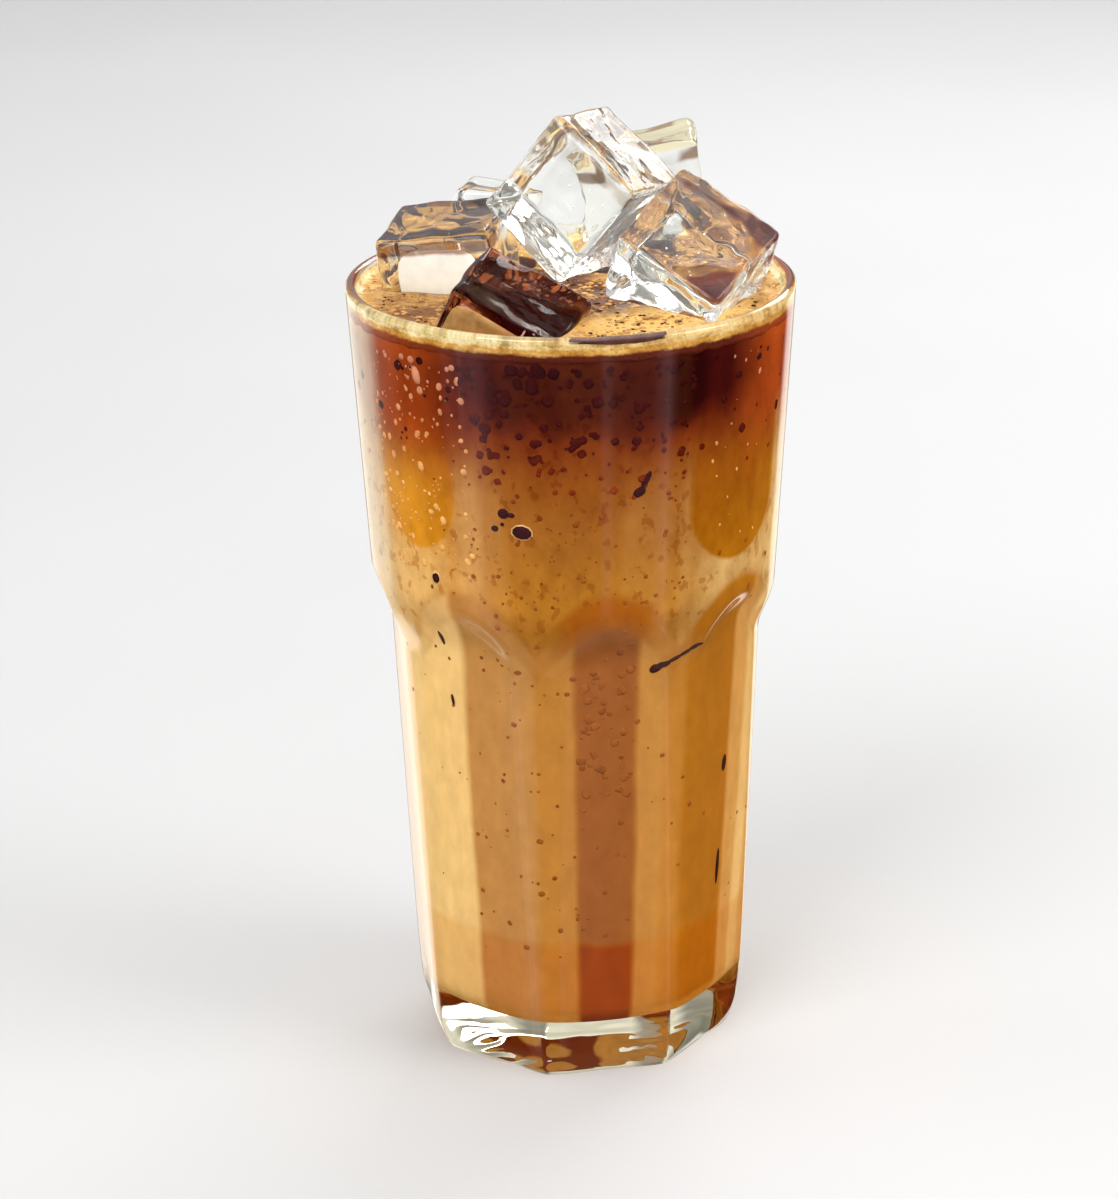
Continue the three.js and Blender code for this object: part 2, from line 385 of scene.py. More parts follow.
def new_material(name, clear=False, **inputs):
    """A material of one shader, with its tree and that shader."""
    material = bpy.data.materials.new(name)
    material.use_nodes = True
    tree = material.node_tree
    tree.nodes.clear()
    shader = put(tree, "ShaderNodeBsdfPrincipled", **inputs)
    surface = shader.outputs[0]
    put(tree, "ShaderNodeOutputMaterial", Surface=pass_lamps(tree, surface) if clear else surface)
    return material, tree, shader


def add_colour(tree, shader, colour):
    feed(tree, colour, shader.inputs["Base Color"])


def add_bump(tree, shader, height, strength, distance):
    bump = put(tree, "ShaderNodeBump", Height=height, Strength=strength, Distance=distance)
    feed(tree, bump.outputs["Normal"], shader.inputs["Normal"])


# Glass

# Tints of the thick foot of the glass and of its thin wall, and the heights in metres between them
FOOT_TINT = (0.98, 0.93, 0.68)
WALL_TINT = (0.98, 0.97, 0.88)
TINT_HEIGHTS = (0.008, 0.020)


def glass_material():
    material, tree, shader = new_material(
        "pressed_glass", True, Transmission_Weight=1.0, IOR=1.5, Roughness=0.0)
    place = object_place(tree)
    above_foot = stretch(tree, axes_of(tree, place)["Z"], *TINT_HEIGHTS)
    add_colour(tree, shader, blend(tree, above_foot, FOOT_TINT, WALL_TINT))
    add_bump(tree, shader, noise(tree, place, 55.0, 1.0, 0.4), 0.06, 0.001)
    return material


def make_glass():
    columns = PANEL_COUNT * 40
    angle = around(columns)
    from_panel = (angle - PANEL_TURN + HALF_PANEL) % (2 * HALF_PANEL) - HALF_PANEL
    rings = []

    def outside(z):
        z = np.broadcast_to(z, angle.shape)
        rings.append(polar(angle, outer_radius(from_panel, z), z))

    for share in np.linspace(0, 1, 16)[1:]:
        rings.append(polar(angle, HOLLOW_RADIUS * share, HOLLOW_RISE * (1 - share * share) ** 1.5))
    for z in np.linspace(0, HEEL_HEIGHT, 10):
        outside(z)
    top, height = shoulder(from_panel)
    for share in np.linspace(0, 1, 22)[1:-1]:
        outside(HEEL_HEIGHT + (top - height - HEEL_HEIGHT) * share)
    for share in np.linspace(0, 1, 30):
        outside(top - height * (1 - share))
    lip = RIM_WALL / 2
    lip_z = GLASS_HEIGHT - lip
    for share in np.linspace(0, 1, 16)[1:]:
        outside(top + (lip_z - top) * share)
    for turn in np.radians(np.linspace(0, 180, 15)[1:-1]):
        rings.append(polar(angle, RIM_RADIUS - lip + lip * math.cos(turn), lip_z + lip * math.sin(turn)))
    for radius, z in reversed(wall_profile(0.0, lip_z)):
        rings.append(polar(angle, radius, z))
    points = np.concatenate([[[0, 0, HOLLOW_RISE]], *rings, [[0, 0, FLOOR_Z]]])
    press_foot(points)
    piece = add_piece("clear_glass", points, ring_faces(len(rings), columns), glass_material())
    finish_piece(piece, ["glass"])


def press_foot(points):
    """Makes the foot of the glass and its underside slightly uneven."""
    radius = np.hypot(points[:, 0], points[:, 1])
    foot = (1 - ease(points[:, 2], *FOOT_HEIGHTS)) * ease(radius, *FOOT_RADII)
    inward = np.minimum(waves(points, *FOOT_WAVES) - PRESSED_INSET, 0)
    points[:, :2] *= (1 + inward * foot / np.maximum(radius, 1))[:, None]
    under = points[:, 2] < HOLLOW_RISE + 0.01
    rise = np.abs(waves(points[under], *UNDERSIDE_WAVES))
    points[under, 2] += rise * (1 - ease(radius[under], *UNDERSIDE_RADII))


# Ice

def cube_frame(mesh):
    """Centre, axes and half sizes of an ice cube's solid, from its largest faces."""
    axes = []
    for face in sorted(mesh.polygons, key=lambda f: -f.area):
        if all(abs(face.normal.dot(axis)) < 0.5 for axis in axes):
            near = [f for f in mesh.polygons if abs(f.normal.dot(face.normal)) > 0.95]
            total = Vector()
            for f in near:
                total += f.normal * math.copysign(f.area, f.normal.dot(face.normal))
            axes.append(total.normalized())
    if axes[0].cross(axes[1]).dot(axes[2]) < 0:
        axes[2] = -axes[2]
    points = np.array([v.co for v in mesh.vertices]) / MM
    basis = np.array(axes[:3])
    places = points @ basis.T
    centre = (places.max(0) + places.min(0)) / 2
    return centre @ basis, basis, (places.max(0) - places.min(0)) / 2


def cube_grid(count):
    """Points on the surface of a cube from -1 to 1, closer together near its edges, with shared edges."""
    steps = np.linspace(-1, 1, count + 1)
    steps = np.sign(steps) * (1 - (1 - np.abs(steps)) ** ICE_GRID_CROWDING)
    index = {}
    points = []
    faces = []

    def corner(cell):
        if cell not in index:
            index[cell] = len(points)
            points.append([steps[k] for k in cell])
        return index[cell]

    for axis in range(3):
        u, v = (axis + 1) % 3, (axis + 2) % 3
        for side in (0, count):
            for a in range(count):
                for b in range(count):
                    quad = []
                    for da, db in ((0, 0), (1, 0), (1, 1), (0, 1)):
                        cell = [0, 0, 0]
                        cell[axis] = side
                        cell[u] = a + da
                        cell[v] = b + db
                        quad.append(corner(tuple(cell)))
                    faces.append(quad if side else quad[::-1])
    return np.array(points), faces


CUBES = {name: cube_frame(nodes[name].data) for name in ICE_NAMES}
GRID_POINTS, GRID_FACES = cube_grid(ICE_GRID)


def ice_points(name, seed, grow=0.0):
    """A melted cube: rounded edges, slightly hollow faces and shallow waves."""
    centre, basis, half = CUBES[name]
    flat = half - ICE_ROUND
    spot = GRID_POINTS * half
    core = np.clip(spot, -flat, flat)
    away = spot - core
    normal = away / np.linalg.norm(away, axis=1, keepdims=True)
    inner = 1 - np.clip(np.abs(spot) / flat, 0, 1) ** 2
    on_face = np.abs(GRID_POINTS) > 0.999
    dish = np.where(on_face, 1.0, inner).prod(1) * (on_face.sum(1) == 1)
    uneven = waves(spot, seed, 9, ICE_WAVE_LENGTH, ICE_WAVE)
    uneven += waves(spot, seed + 50, 12, ICE_RIPPLE_LENGTH, ICE_RIPPLE)
    depth = ICE_ROUND - ICE_DISH * dish + uneven - ICE_WAVE + grow
    local = core + normal * depth[:, None]
    return local @ basis + centre


def face_of(name, toward):
    """A cube's centre, axes and half sizes, and which axis and way its face that looks in a direction has."""
    centre, basis, half = CUBES[name]
    facing = basis @ np.array(toward)
    side = int(np.argmax(np.abs(facing)))
    return centre, basis, half, side, basis[side] * np.sign(facing[side])


def face_patch(name, toward, inset, share, thickness):
    """Place, axes and half sizes of a flat patch under one face of a cube."""
    centre, basis, half, side, way = face_of(name, toward)
    u, v = (side + 1) % 3, (side + 2) % 3
    axes = np.stack([basis[u], basis[v], way])
    return centre + way * (half[side] - inset), axes, (half[u] * share, half[v] * share, thickness)


# Kinds of ice: transmission, index of refraction, tint of the gloss and tint of the ice
CLEAR_ICE = (0.975, 1.31, (1, 1, 1), (0.97, 0.975, 0.945))
ICE_IN_COFFEE = (1.0, 1.24, (0.3, 0.15, 0.12), (0.54, 0.27, 0.24))

# Cubes with painted light from the coffee in one face: where the face looks, its tint, the noise from which
# the tint starts and is full, and the tint of a broken line of painted coffee refraction beside it
COFFEE_LIT_FACES = {
    "ice_back_right": ((0, 0, 1), (0.90, 0.76, 0.36), (0.0, 0.1), (0.20, 0.10, 0.05)),
    "ice_left": ((0, 0, 1), (0.44, 0.42, 0.52), (0.36, 0.44), (0.16, 0.07, 0.04)),
    "ice_top": ((0.7, -0.2, 0.7), (0.40, 0.29, 0.20), (0.50, 0.57), (0.55, 0.46, 0.36)),
}
# Depths in metres under the plane of such a face, which noise shifts
FACE_SHIFT = 0.0016
TINT_END = (0.0016, 0.0024)
EDGE_REFRACTION_START = (0.0018, 0.0024)
EDGE_REFRACTION_END = (0.0042, 0.0050)
EDGE_REFRACTION_NOISE = (0.42, 0.52)


def coffee_light_colour(tree, place, name, tint):
    """A cube's tint: painted coffee light in patches on one face, and painted refraction on the sides beside
    it.
    """
    toward, painted_coffee_light, cover, edge_refraction_tint = COFFEE_LIT_FACES[name]
    centre, _, half, side, way = face_of(name, toward)
    outward = maths(tree, "DOT_PRODUCT", place, way, kind="ShaderNodeVectorMath")
    depth = minus(tree, float(centre @ way + half[side]) * MM, outward)
    uneven = noise(tree, place, 160.0, 3.0, 0.6)
    depth = scaled(tree, uneven, FACE_SHIFT, depth)
    on_face = times(tree, inverse(tree, stretch(tree, depth, *TINT_END)), stretch(tree, uneven, *cover))
    edge_refraction = minus(tree, stretch(tree, depth, *EDGE_REFRACTION_START), stretch(tree, depth, *EDGE_REFRACTION_END))
    edge_refraction = times(tree, edge_refraction, stretch(tree, noise(tree, place, 90.0), *EDGE_REFRACTION_NOISE))
    return blend(tree, edge_refraction, blend(tree, on_face, tint, painted_coffee_light), edge_refraction_tint)


def ice_material(name, kind, coffee_lit=None):
    """A kind of ice, with painted coffee light on one face of the cube whose name is given."""
    transmission, bend, gloss, tint = kind
    material, tree, shader = new_material(
        name, True, Transmission_Weight=transmission, IOR=bend, Roughness=0.0, Specular_Tint=gloss)
    place = object_place(tree)
    add_colour(tree, shader, coffee_light_colour(tree, place, coffee_lit, tint) if coffee_lit else tint)
    add_bump(tree, shader, noise(tree, place, 130.0), 0.4, 0.001)
    return material


def make_ice():
    clear = ice_material("clear_ice", CLEAR_ICE)
    in_coffee = ice_material("ice_in_coffee", ICE_IN_COFFEE)
    for seed, name in enumerate(ICE_NAMES):
        material = in_coffee if name == "ice_front" else clear
        if name in COFFEE_LIT_FACES:
            material = ice_material("clear_" + name, CLEAR_ICE, name)
        piece = add_piece("melting_" + name, ice_points(name, seed), GRID_FACES, material)
        finish_piece(piece, [name])


def make_cutters(material):
    """Slightly smaller copies of the ice, which cut it out of the drink and the froth."""
    return [
        add_piece("cutter", ice_points(name, seed, -INTO_ICE), GRID_FACES, material)
        for seed, name in enumerate(ICE_NAMES)
    ]


def cut_out(piece, cutters):
    for cutter in cutters:
        cut = piece.modifiers.new("ice", "BOOLEAN")
        cut.operation = "DIFFERENCE"
        cut.solver = "EXACT"
        cut.object = cutter
    seen = piece.evaluated_get(bpy.context.evaluated_depsgraph_get())
    mesh = bpy.data.meshes.new_from_object(seen)
    piece.modifiers.clear()
    piece.data = mesh
    mesh.shade_smooth()


# Drink

WATER_IOR = 1.33

# The drink's colours by height in millimetres, from the milk at the bottom to the coffee under the froth.
# The bright lowest tones, on its underside, are painted light.
DRINK_TONES = (
    (10, "ffc466"), (12, "e89838"), (14, "b3640a"), (28, "b5680a"), (31, "b4721e"), (92, "ae701e"),
    (104, "b5781c"), (118, "a0621a"), (128, "965312"), (132, "8a4410"), (136, "79320d"), (139, "5c1c0a"),
    (142, "440b06"), (148, "400b08"), (153, "380506"),
)
# golden painted light that the panels focus, pale and rose brown painted reflection, orange red where it ends
GOLDEN_LIGHT = srgb("e6a038")
PALE_REFLECTION = srgb("fae0a2")
ROSE_REFLECTION = srgb("9e5e2a")
ORANGE_RED = srgb("9a4208")
GLOW = srgb("b04a14")
# painted shade under the arches of the panels
ARCH_SHADE = srgb("a85c04")
# pale painted reflection at the far left
EDGE_REFLECTION = srgb("c2ae8c")
# Tints that multiply the colour under them: of painted shade in the black coffee, of the bands free of
# painted reflection and of the flecks
SHADE = (0.42, 0.30, 0.55)
BAND_TINT = (1.03, 0.97, 0.40)
FLECK_TINT = (0.74, 0.54, 0.36)

# Painted streaks on the milk by angle in degrees from the front: where each starts, and its shares of
# golden painted light that the panels focus, of pale painted reflection and of rose brown painted reflection.
# They repeat at the back.
BODY_LIGHT_STREAKS = (
    (-90, 0.30, 0.30, 0.00),
    (-80, 0.45, 0.55, 0.00),
    (-66, 0.60, 0.68, 0.00),
    (-38.5, 0.10, 0.22, 0.20),
    (-14, 0.12, 0.08, 0.00),
    (-0.5, 0.00, 0.00, 1.00),
    (21, 0.14, 0.12, 0.00),
    (31, 0.12, 0.06, 0.00),
    (38, 0.02, 0.00, 0.00),
    (64, 0.30, 0.22, 0.00),
    (74, 0.30, 0.50, 0.00),
    (82, 0.30, 0.30, 0.00),
)
CONE_LIGHT_STREAKS = (
    (-90, 0.30, 0.30, 0.00),
    (-63, 0.66, 0.06, 0.00),
    (-44, 0.48, 0.02, 0.00),
    (-34, 0.28, 0.16, 0.00),
    (-26, 0.16, 0.05, 0.00),
    (-19, 0.06, 0.00, 0.05),
    (-2, 0.00, 0.00, 0.08),
    (14, 0.05, 0.03, 0.05),
    (31, 0.06, 0.08, 0.00),
    (34, 0.00, 0.00, 0.00),
    (60, 0.10, 0.00, 0.00),
    (70, 0.30, 0.30, 0.00),
)
STREAK_EDGE = 2.6

# Angle tables hold a value for a direction in degrees from the front, and repeat at the back.
# Red light through the black coffee near the wall
GLOW_BY_ANGLE = (
    (-90, 0.5), (-64, 0.6), (-54, 0.75), (-44, 0.6), (-36, 0.3), (-28, 0.05), (45, 0.0), (56, 0.45),
    (66, 0.95), (76, 0.9), (90, 0.5),
)
# How much higher the milky part reaches, in millimetres
LIFT_BY_ANGLE = (
    (-90, 6.0), (-75, 5.0), (-60, 3.5), (-36, 3.0), (-28, 3.0), (-19, 0.5), (0, -1.5), (20, -1.5),
    (28, -0.5), (38, 1.0), (50, 2.5), (60, 4.0), (75, 6.0), (90, 6.0),
)
# Painted shade that darkens the black coffee
SHADE_BY_ANGLE = (
    (-90, 0.0), (-26, 0.0), (-22, 0.35), (-8, 0.2), (0, 0.0), (22, 0.0), (27, 1.0), (35, 1.0), (39, 0.0),
    (90, 0.0),
)
# Painted shade, darker than the milk, right under the arches of the panels
ARCH_SHADE_BY_ANGLE = (
    (-90, 0.05), (-60, 0.1), (-50, 0.3), (-8, 0.25), (-3, 0.8), (22, 0.8), (27, 0.25), (90, 0.3),
)
# Pale painted reflection at the far left, in front, up to the froth
EDGE_REFLECTION_BY_ANGLE = ((-90, 0.3), (-76, 0.55), (-68, 0.5), (-59, 0.0), (80, 0.0), (90, 0.3))

# Bands at the sides free of the pale painted reflection around them: middle and half width in degrees,
# and the height of the round lower end in millimetres
UNREFLECTED_BANDS = ((-48, 14.5, 112.0), (52, 19, 108.5))
UNREFLECTED_BAND_ROUNDING = 0.014
UNREFLECTED_BAND_EDGE = (0.9, 1.06)  # reach from the middle, 1 at the half width

# Pale painted reflection outside the bands: its shares at the front and at the sides, and more low at the
# sides, where the glass narrows. A side is told by its distance from the front, in half turns.
REFLECTION_SHARES = (0.02, 0.14)
REFLECTION_SIDE = (0.15, 0.24)
LOW_REFLECTION_SHARE = 0.30
LOW_REFLECTION_SIDE = (0.15, 0.27)
LOW_REFLECTION_TOP = (0.107, 0.117)

# Where parts of the drink start and are full, in metres
UNEVEN_PART = (0.105, 0.130)
CONE_START = (0.1030, 0.1055)
ARCH_SHADE_START = (0.0975, 0.1000)
ARCH_SHADE_END = (0.1040, 0.1075)
MILK_END = (0.118, 0.136)
SHADE_START = (0.137, 0.142)
FOOT_END = (0.0283, 0.0307)
BACK_START = (-0.006, 0.006)
GLOW_DEPTH = (0.0006, 0.0003)  # light passes the black coffee only this near the wall

# How far noise moves the streaks, the layers and the foot, and how far an arch drops beside its middle
STREAK_WOBBLE = 0.035
LAYER_SWIRL = 0.014
FOOT_WOBBLE = 0.006
ARCH_DROP = 0.012

# Tones by noise that multiply the drink's colour: blotches in its upper part, and fine mottling
BLOTCHES = ((0.36, (0.80, 0.74, 0.64)), (0.5, 1.0), (0.66, (1.10, 1.14, 1.20)))
BLOTCH_SHARE = 0.7
MOTTLING = ((0.3, (0.90, 0.88, 0.84)), (0.7, 1.08))
FLECK_NOISE = (0.585, 0.65)
FLECK_SHARE = 0.75


def streak_ramp(tree, angle, streaks, column):
    """A value by angle: one column of a table of streaks, with soft steps."""
    stops = [(0.0, streaks[0][column])]
    for before, after in zip(streaks, streaks[1:]):
        start = (after[0] - STREAK_EDGE / 2 + 90) / 180
        stops += [(start, before[column]), (start + STREAK_EDGE / 180, after[column])]
    stops += [(1 - STREAK_EDGE / 180, streaks[-1][column]), (1.0, streaks[0][column])]
    return ramp(tree, angle, stops)


def depth_in_cone(tree, place, z):
    """Distance in metres from the inner wall of the glass's cone."""
    foot_z, foot_radius = INNER_SHOULDER_TOP
    slope = (RIM_RADIUS - RIM_WALL - foot_radius) / (GLASS_HEIGHT - foot_z)
    wall = scaled(tree, z, slope, (foot_radius - slope * foot_z) * MM)
    return minus(tree, wall, radius_from_axis(tree, place))


def outside_bands(tree, half_turn, z):
    """1 outside the bands free of painted reflection and 0 inside them."""
    bands = []
    for middle, half, end in UNREFLECTED_BANDS:
        below = minus(tree, end * MM + UNREFLECTED_BAND_ROUNDING, z)
        below = maths(tree, "MAXIMUM", maths(tree, "DIVIDE", below, UNREFLECTED_BAND_ROUNDING), 0.0)
        beside = maths(tree, "DIVIDE", minus(tree, half_turn, (middle + 90) / 180), half / 180)
        reach = maths(tree, "ADD", times(tree, beside, beside), times(tree, below, below))
        bands.append(stretch(tree, reach, *UNREFLECTED_BAND_EDGE))
    return times(tree, *bands)


# the share of pale painted reflection outside the bands
def reflection_share(tree, half_turn, z):
    sideways = maths(tree, "ABSOLUTE", minus(tree, half_turn, 0.5))
    front, side = REFLECTION_SHARES
    share = scaled(tree, stretch(tree, sideways, *REFLECTION_SIDE), side - front, front)
    low = inverse(tree, stretch(tree, z, *LOW_REFLECTION_TOP))
    low_side = times(tree, low, stretch(tree, sideways, *LOW_REFLECTION_SIDE))
    return scaled(tree, low_side, LOW_REFLECTION_SHARE, share)


def drink_colour(tree):
    """Colour by height in uneven layers, with streaks of painted light, reflection and shade along the
    panels.
    """
    place = object_place(tree)
    x, y, z = axes_of(tree, place)
    turn = turn_of(tree, x, y)
    half_turn = half_turn_of(tree, turn)
    wobble = minus(tree, noise(tree, place, 45.0, 3.0, 0.6, (1, 1, 0.25)), 0.5)
    angle = maths(tree, "ADD", half_turn, times(tree, wobble, STREAK_WOBBLE))

    # the height in the layers
    swirl = minus(tree, noise(tree, place, 70.0, 4.0, 0.62, (1, 1, 0.55)), 0.5)
    near_top = stretch(tree, z, *UNEVEN_PART)
    height = scaled(tree, times(tree, swirl, near_top), LAYER_SWIRL, z)
    height = scaled(tree, times(tree, by_angle(tree, half_turn, LIFT_BY_ANGLE), near_top), -MM, height)

    # the parts of the drink: the streaks of the body end in an arch under each panel's top
    part = maths(tree, "FLOORED_MODULO", minus(tree, turn, PANEL_TURN - HALF_PANEL), 2 * HALF_PANEL)
    from_panel = maths(tree, "DIVIDE", minus(tree, part, HALF_PANEL), HALF_PANEL)
    arch = scaled(tree, times(tree, from_panel, from_panel), ARCH_DROP, z)
    in_cone = stretch(tree, arch, *CONE_START)
    in_milk = inverse(tree, stretch(tree, height, *MILK_END))
    above_foot = ragged(tree, z, wobble, FOOT_WOBBLE, *FOOT_END)
    outside = outside_bands(tree, half_turn, z)

    # the share of each tone: golden painted light, pale and rose painted reflection, and red where that
    # reflection ends; then a red glow of light, painted shade in the black coffee and under the arches, and
    # pale painted reflection outside the bands and at the far left
    golden, pale, rose = (
        blend(tree, in_cone, *(streak_ramp(tree, angle, table, k) for table in (BODY_LIGHT_STREAKS, CONE_LIGHT_STREAKS)))
        for k in (1, 2, 3)
    )
    golden = times(tree, golden, in_milk)
    pale = times(tree, pale, in_milk, scaled(tree, above_foot, 0.3, 0.7))
    rose_above_foot = times(tree, rose, above_foot)
    red = minus(tree, rose, rose_above_foot)
    at_wall = stretch(tree, depth_in_cone(tree, place, z), *GLOW_DEPTH)
    glow = times(tree, by_angle(tree, angle, GLOW_BY_ANGLE), inverse(tree, in_milk), at_wall)
    shade = times(tree, by_angle(tree, angle, SHADE_BY_ANGLE), stretch(tree, height, *SHADE_START))
    painted_reflection = times(tree, in_cone, in_milk, outside, reflection_share(tree, half_turn, z))
    band = times(tree, minus(tree, in_cone, times(tree, outside, in_cone)), in_milk)
    arch_shade = minus(tree, stretch(tree, arch, *ARCH_SHADE_START), stretch(tree, arch, *ARCH_SHADE_END))
    arch_shade = times(tree, arch_shade, by_angle(tree, half_turn, ARCH_SHADE_BY_ANGLE))
    in_front = inverse(tree, stretch(tree, y, *BACK_START))
    edge = times(tree, by_angle(tree, angle, EDGE_REFLECTION_BY_ANGLE), in_front, in_cone)
    flecks = stretch(tree, noise(tree, place, 430.0, 2.0, 0.55, (1, 1, 0.8)), *FLECK_NOISE)
    flecks = times(tree, outside, in_cone, flecks, FLECK_SHARE)
    blotches = ramp(tree, noise(tree, place, 150.0, 5.0, 0.7, (1, 1, 0.7)), BLOTCHES)
    mottling = ramp(tree, noise(tree, place, 260.0, 4.0, 0.6, (1, 1, 0.6)), MOTTLING)

    colour = by_height(tree, height, DRINK_TONES)
    for share, tone, mode in (
        (golden, GOLDEN_LIGHT, "MIX"),
        (glow, GLOW, "MIX"),
        (shade, SHADE, "MULTIPLY"),
        (pale, PALE_REFLECTION, "MIX"),
        (painted_reflection, PALE_REFLECTION, "MIX"),
        (band, BAND_TINT, "MULTIPLY"),
        (rose_above_foot, ROSE_REFLECTION, "MIX"),
        (red, ORANGE_RED, "MIX"),
        (arch_shade, ARCH_SHADE, "MIX"),
        (edge, EDGE_REFLECTION, "MIX"),
        (times(tree, in_cone, BLOTCH_SHARE), blotches, "MULTIPLY"),
        (flecks, FLECK_TINT, "MULTIPLY"),
        (1.0, mottling, "MULTIPLY"),
    ):
        colour = blend(tree, share, colour, tone, mode)
    return colour


def drink_material():
    material, tree, shader = new_material("coffee", Roughness=0.4, IOR=WATER_IOR, Specular_IOR_Level=0.0)
    add_colour(tree, shader, drink_colour(tree))
    return material


def make_drink(material, cutters):
    wall = wall_profile(INTO_WALL, FOAM_BOTTOM_Z + INTO_FOAM)
    profile = [(0, wall[0][1]), *wall, (0, wall[-1][1])]
    piece = add_piece("layered_coffee", *revolved(profile, DRINK_COLUMNS), material)
    cut_out(piece, cutters)
    finish_piece(piece, ["milk_coffee", "black_coffee"])


# Froth

# Tones by noise: in the middle, further out, at the wall, and of the residue on the wall above
MIDDLE_TONES = ((0.34, "2e1008"), (0.5, "5a3014"), (0.66, "a87c44"))
INNER_TONES = ((0.34, "5e3416"), (0.46, "8a5a2a"), (0.62, "bc8e4c"))
WALL_TONES = ((0.34, "a8742e"), (0.5, "cf9a48"), (0.68, "eac67c"))
RESIDUE_TONES = ((0.36, "a8925e"), (0.46, "d8c48c"), (0.6, "eee0b6"))
BRIGHT_GOLDEN = srgb("e0b05a")
SOAKED = srgb("5a1e0e")
# a painted red glow of light through the coffee, in the soaked foot at the sides
SOAKED_GLOW = srgb("9a4018")

# Shares by angle of the bright golden tone, of the painted red glow in the soaked foot and of the residue
GOLDEN_BY_ANGLE = ((-90, 0.0), (-30, 0.0), (0, 0.6), (12, 0.8), (36, 0.8), (60, 0.6), (90, 0.0))
SOAKED_GLOW_BY_ANGLE = ((-90, 1.0), (-55, 0.9), (-28, 0.0), (44, 0.0), (62, 1.0), (90, 1.0))
RESIDUE_BY_ANGLE = ((-90, 1.0), (-30, 0.95), (0, 0.6), (50, 0.35), (75, 0.5), (90, 1.0))

# Parts of the froth, by radius or height in metres: the shift by noise, and where each starts and is full
OFF_MIDDLE = (0.014, 0.029, 0.040)
OFF_ICE = (0.014, 0.021, 0.033)
AT_WALL = (0.006, 0.0385, 0.0445)
CLIMBED = (0.0012, 0.1558, 0.1564)
DRY = (0.0016, 0.1548, 0.1556)
# The same without noise: the residue, and the painted red glow in the soaked foot
RESIDUE_RADII = (0.0400, 0.0412)
SOAKED_GLOW_RADII = (0.0408, 0.0412)

CELL_SCALE = 1400.0
CELL_TONES = ((0.0, (0.62, 0.55, 0.45)), (0.35, 1.0))
CELL_SHARE = 0.8


def foam_material():
    """Golden at the wall, browner with patches of coffee further in, and soaked with coffee at its foot."""
    material, tree, shader = new_material("froth", Roughness=0.3, IOR=WATER_IOR, Specular_IOR_Level=0.14)
    place = object_place(tree)
    x, y, z = axes_of(tree, place)
    half_turn = half_turn_of(tree, turn_of(tree, x, y))
    radius = radius_from_axis(tree, place)
    patches = noise(tree, place, 95.0, 4.0, 0.65)
    streaky = noise(tree, place, 210.0, 4.0, 0.7, (1, 1, 1.5))

    golden = by_angle(tree, half_turn, GOLDEN_BY_ANGLE)
    golden = times(tree, golden, ragged(tree, radius, patches, *OFF_ICE))
    residue = times(tree, ragged(tree, z, streaky, *CLIMBED), stretch(tree, radius, *RESIDUE_RADII))
    residue = times(tree, residue, by_angle(tree, half_turn, RESIDUE_BY_ANGLE))
    # the soaked foot, lighter at the sides with a painted red glow
    soaked_glow = by_angle(tree, half_turn, SOAKED_GLOW_BY_ANGLE)
    soaked_glow = times(tree, soaked_glow, stretch(tree, radius, *SOAKED_GLOW_RADII))
    soaked = blend(tree, soaked_glow, SOAKED, SOAKED_GLOW)

    colour = ramp(tree, patches, MIDDLE_TONES)
    colour = blend(tree, ragged(tree, radius, patches, *OFF_MIDDLE), colour, ramp(tree, patches, INNER_TONES))
    colour = blend(tree, golden, colour, BRIGHT_GOLDEN)
    colour = blend(tree, ragged(tree, radius, patches, *AT_WALL), colour, ramp(tree, streaky, WALL_TONES))
    colour = blend(tree, residue, colour, ramp(tree, streaky, RESIDUE_TONES))
    colour = blend(tree, ragged(tree, z, streaky, *DRY), soaked, colour)
    cells = put(tree, "ShaderNodeTexVoronoi", Vector=place, Scale=CELL_SCALE).outputs["Distance"]
    colour = blend(tree, CELL_SHARE, colour, ramp(tree, cells, CELL_TONES), "MULTIPLY")
    add_colour(tree, shader, colour)
    add_bump(tree, shader, cells, 0.5, 0.0003)
    return material


def make_foam(cutters):
    """Froth with an uneven lower edge on the glass, climbing the wall a little and gently rolling on top."""
    out = INTO_WALL + FOAM_OUT
    crest = FOAM_TOP_Z + FOAM_CLIMB
    side = [(float(wall_radius(z)) + out, z) for z in np.linspace(FOAM_BOTTOM_Z, crest, 9)]
    edge = side[-1][0]
    steps = np.linspace(0, FOAM_SLOPE, 16)[1:]
    slope = [(edge - d, FOAM_TOP_Z + FOAM_CLIMB * (1 - d / FOAM_SLOPE) ** 6) for d in steps]
    inner = [(r, FOAM_TOP_Z) for r in np.linspace(edge - FOAM_SLOPE, 0, 90)[1:-1]]
    foot = [(0, FOAM_BOTTOM_Z), (side[0][0] - FOAM_FOOT_RING, FOAM_BOTTOM_Z)]
    points, faces = revolved([*foot, *side, *slope, *inner, (0, FOAM_TOP_Z)], 2 * DRINK_COLUMNS)
    radius = np.hypot(points[:, 0], points[:, 1])
    lowest = points[:, 2] < FOAM_BOTTOM_Z + 0.01
    points[lowest, 2] += waves(points[lowest], *FOAM_FOOT_WAVES)
    flat = (points[:, 2] > FOAM_TOP_Z - 0.01) & (radius < edge - FOAM_TOP_INSET)
    points[flat, 2] += waves(points[flat], *FOAM_TOP_WAVES)
    piece = add_piece("froth", points, faces, foam_material())
    cut_out(piece, cutters)
    finish_piece(piece, ["foam"])


# Bubbles and specks. Sizes are half sizes in millimetres, and angles are in degrees from the front.

SPECK_THICKNESS = 0.16
DARK_BUBBLE_COUNT = 640
FINE_SPECK_COUNT = 900
LOW_SPECK_COUNT = 46
GLINTING_BUBBLE_COUNT = 420
AIR_BUBBLE_COUNT = 14  # in each cube
FROTH_BUBBLE_REACH = 41.0
FROTH_BUBBLE_HEIGHT = 0.4  # as a share of its width

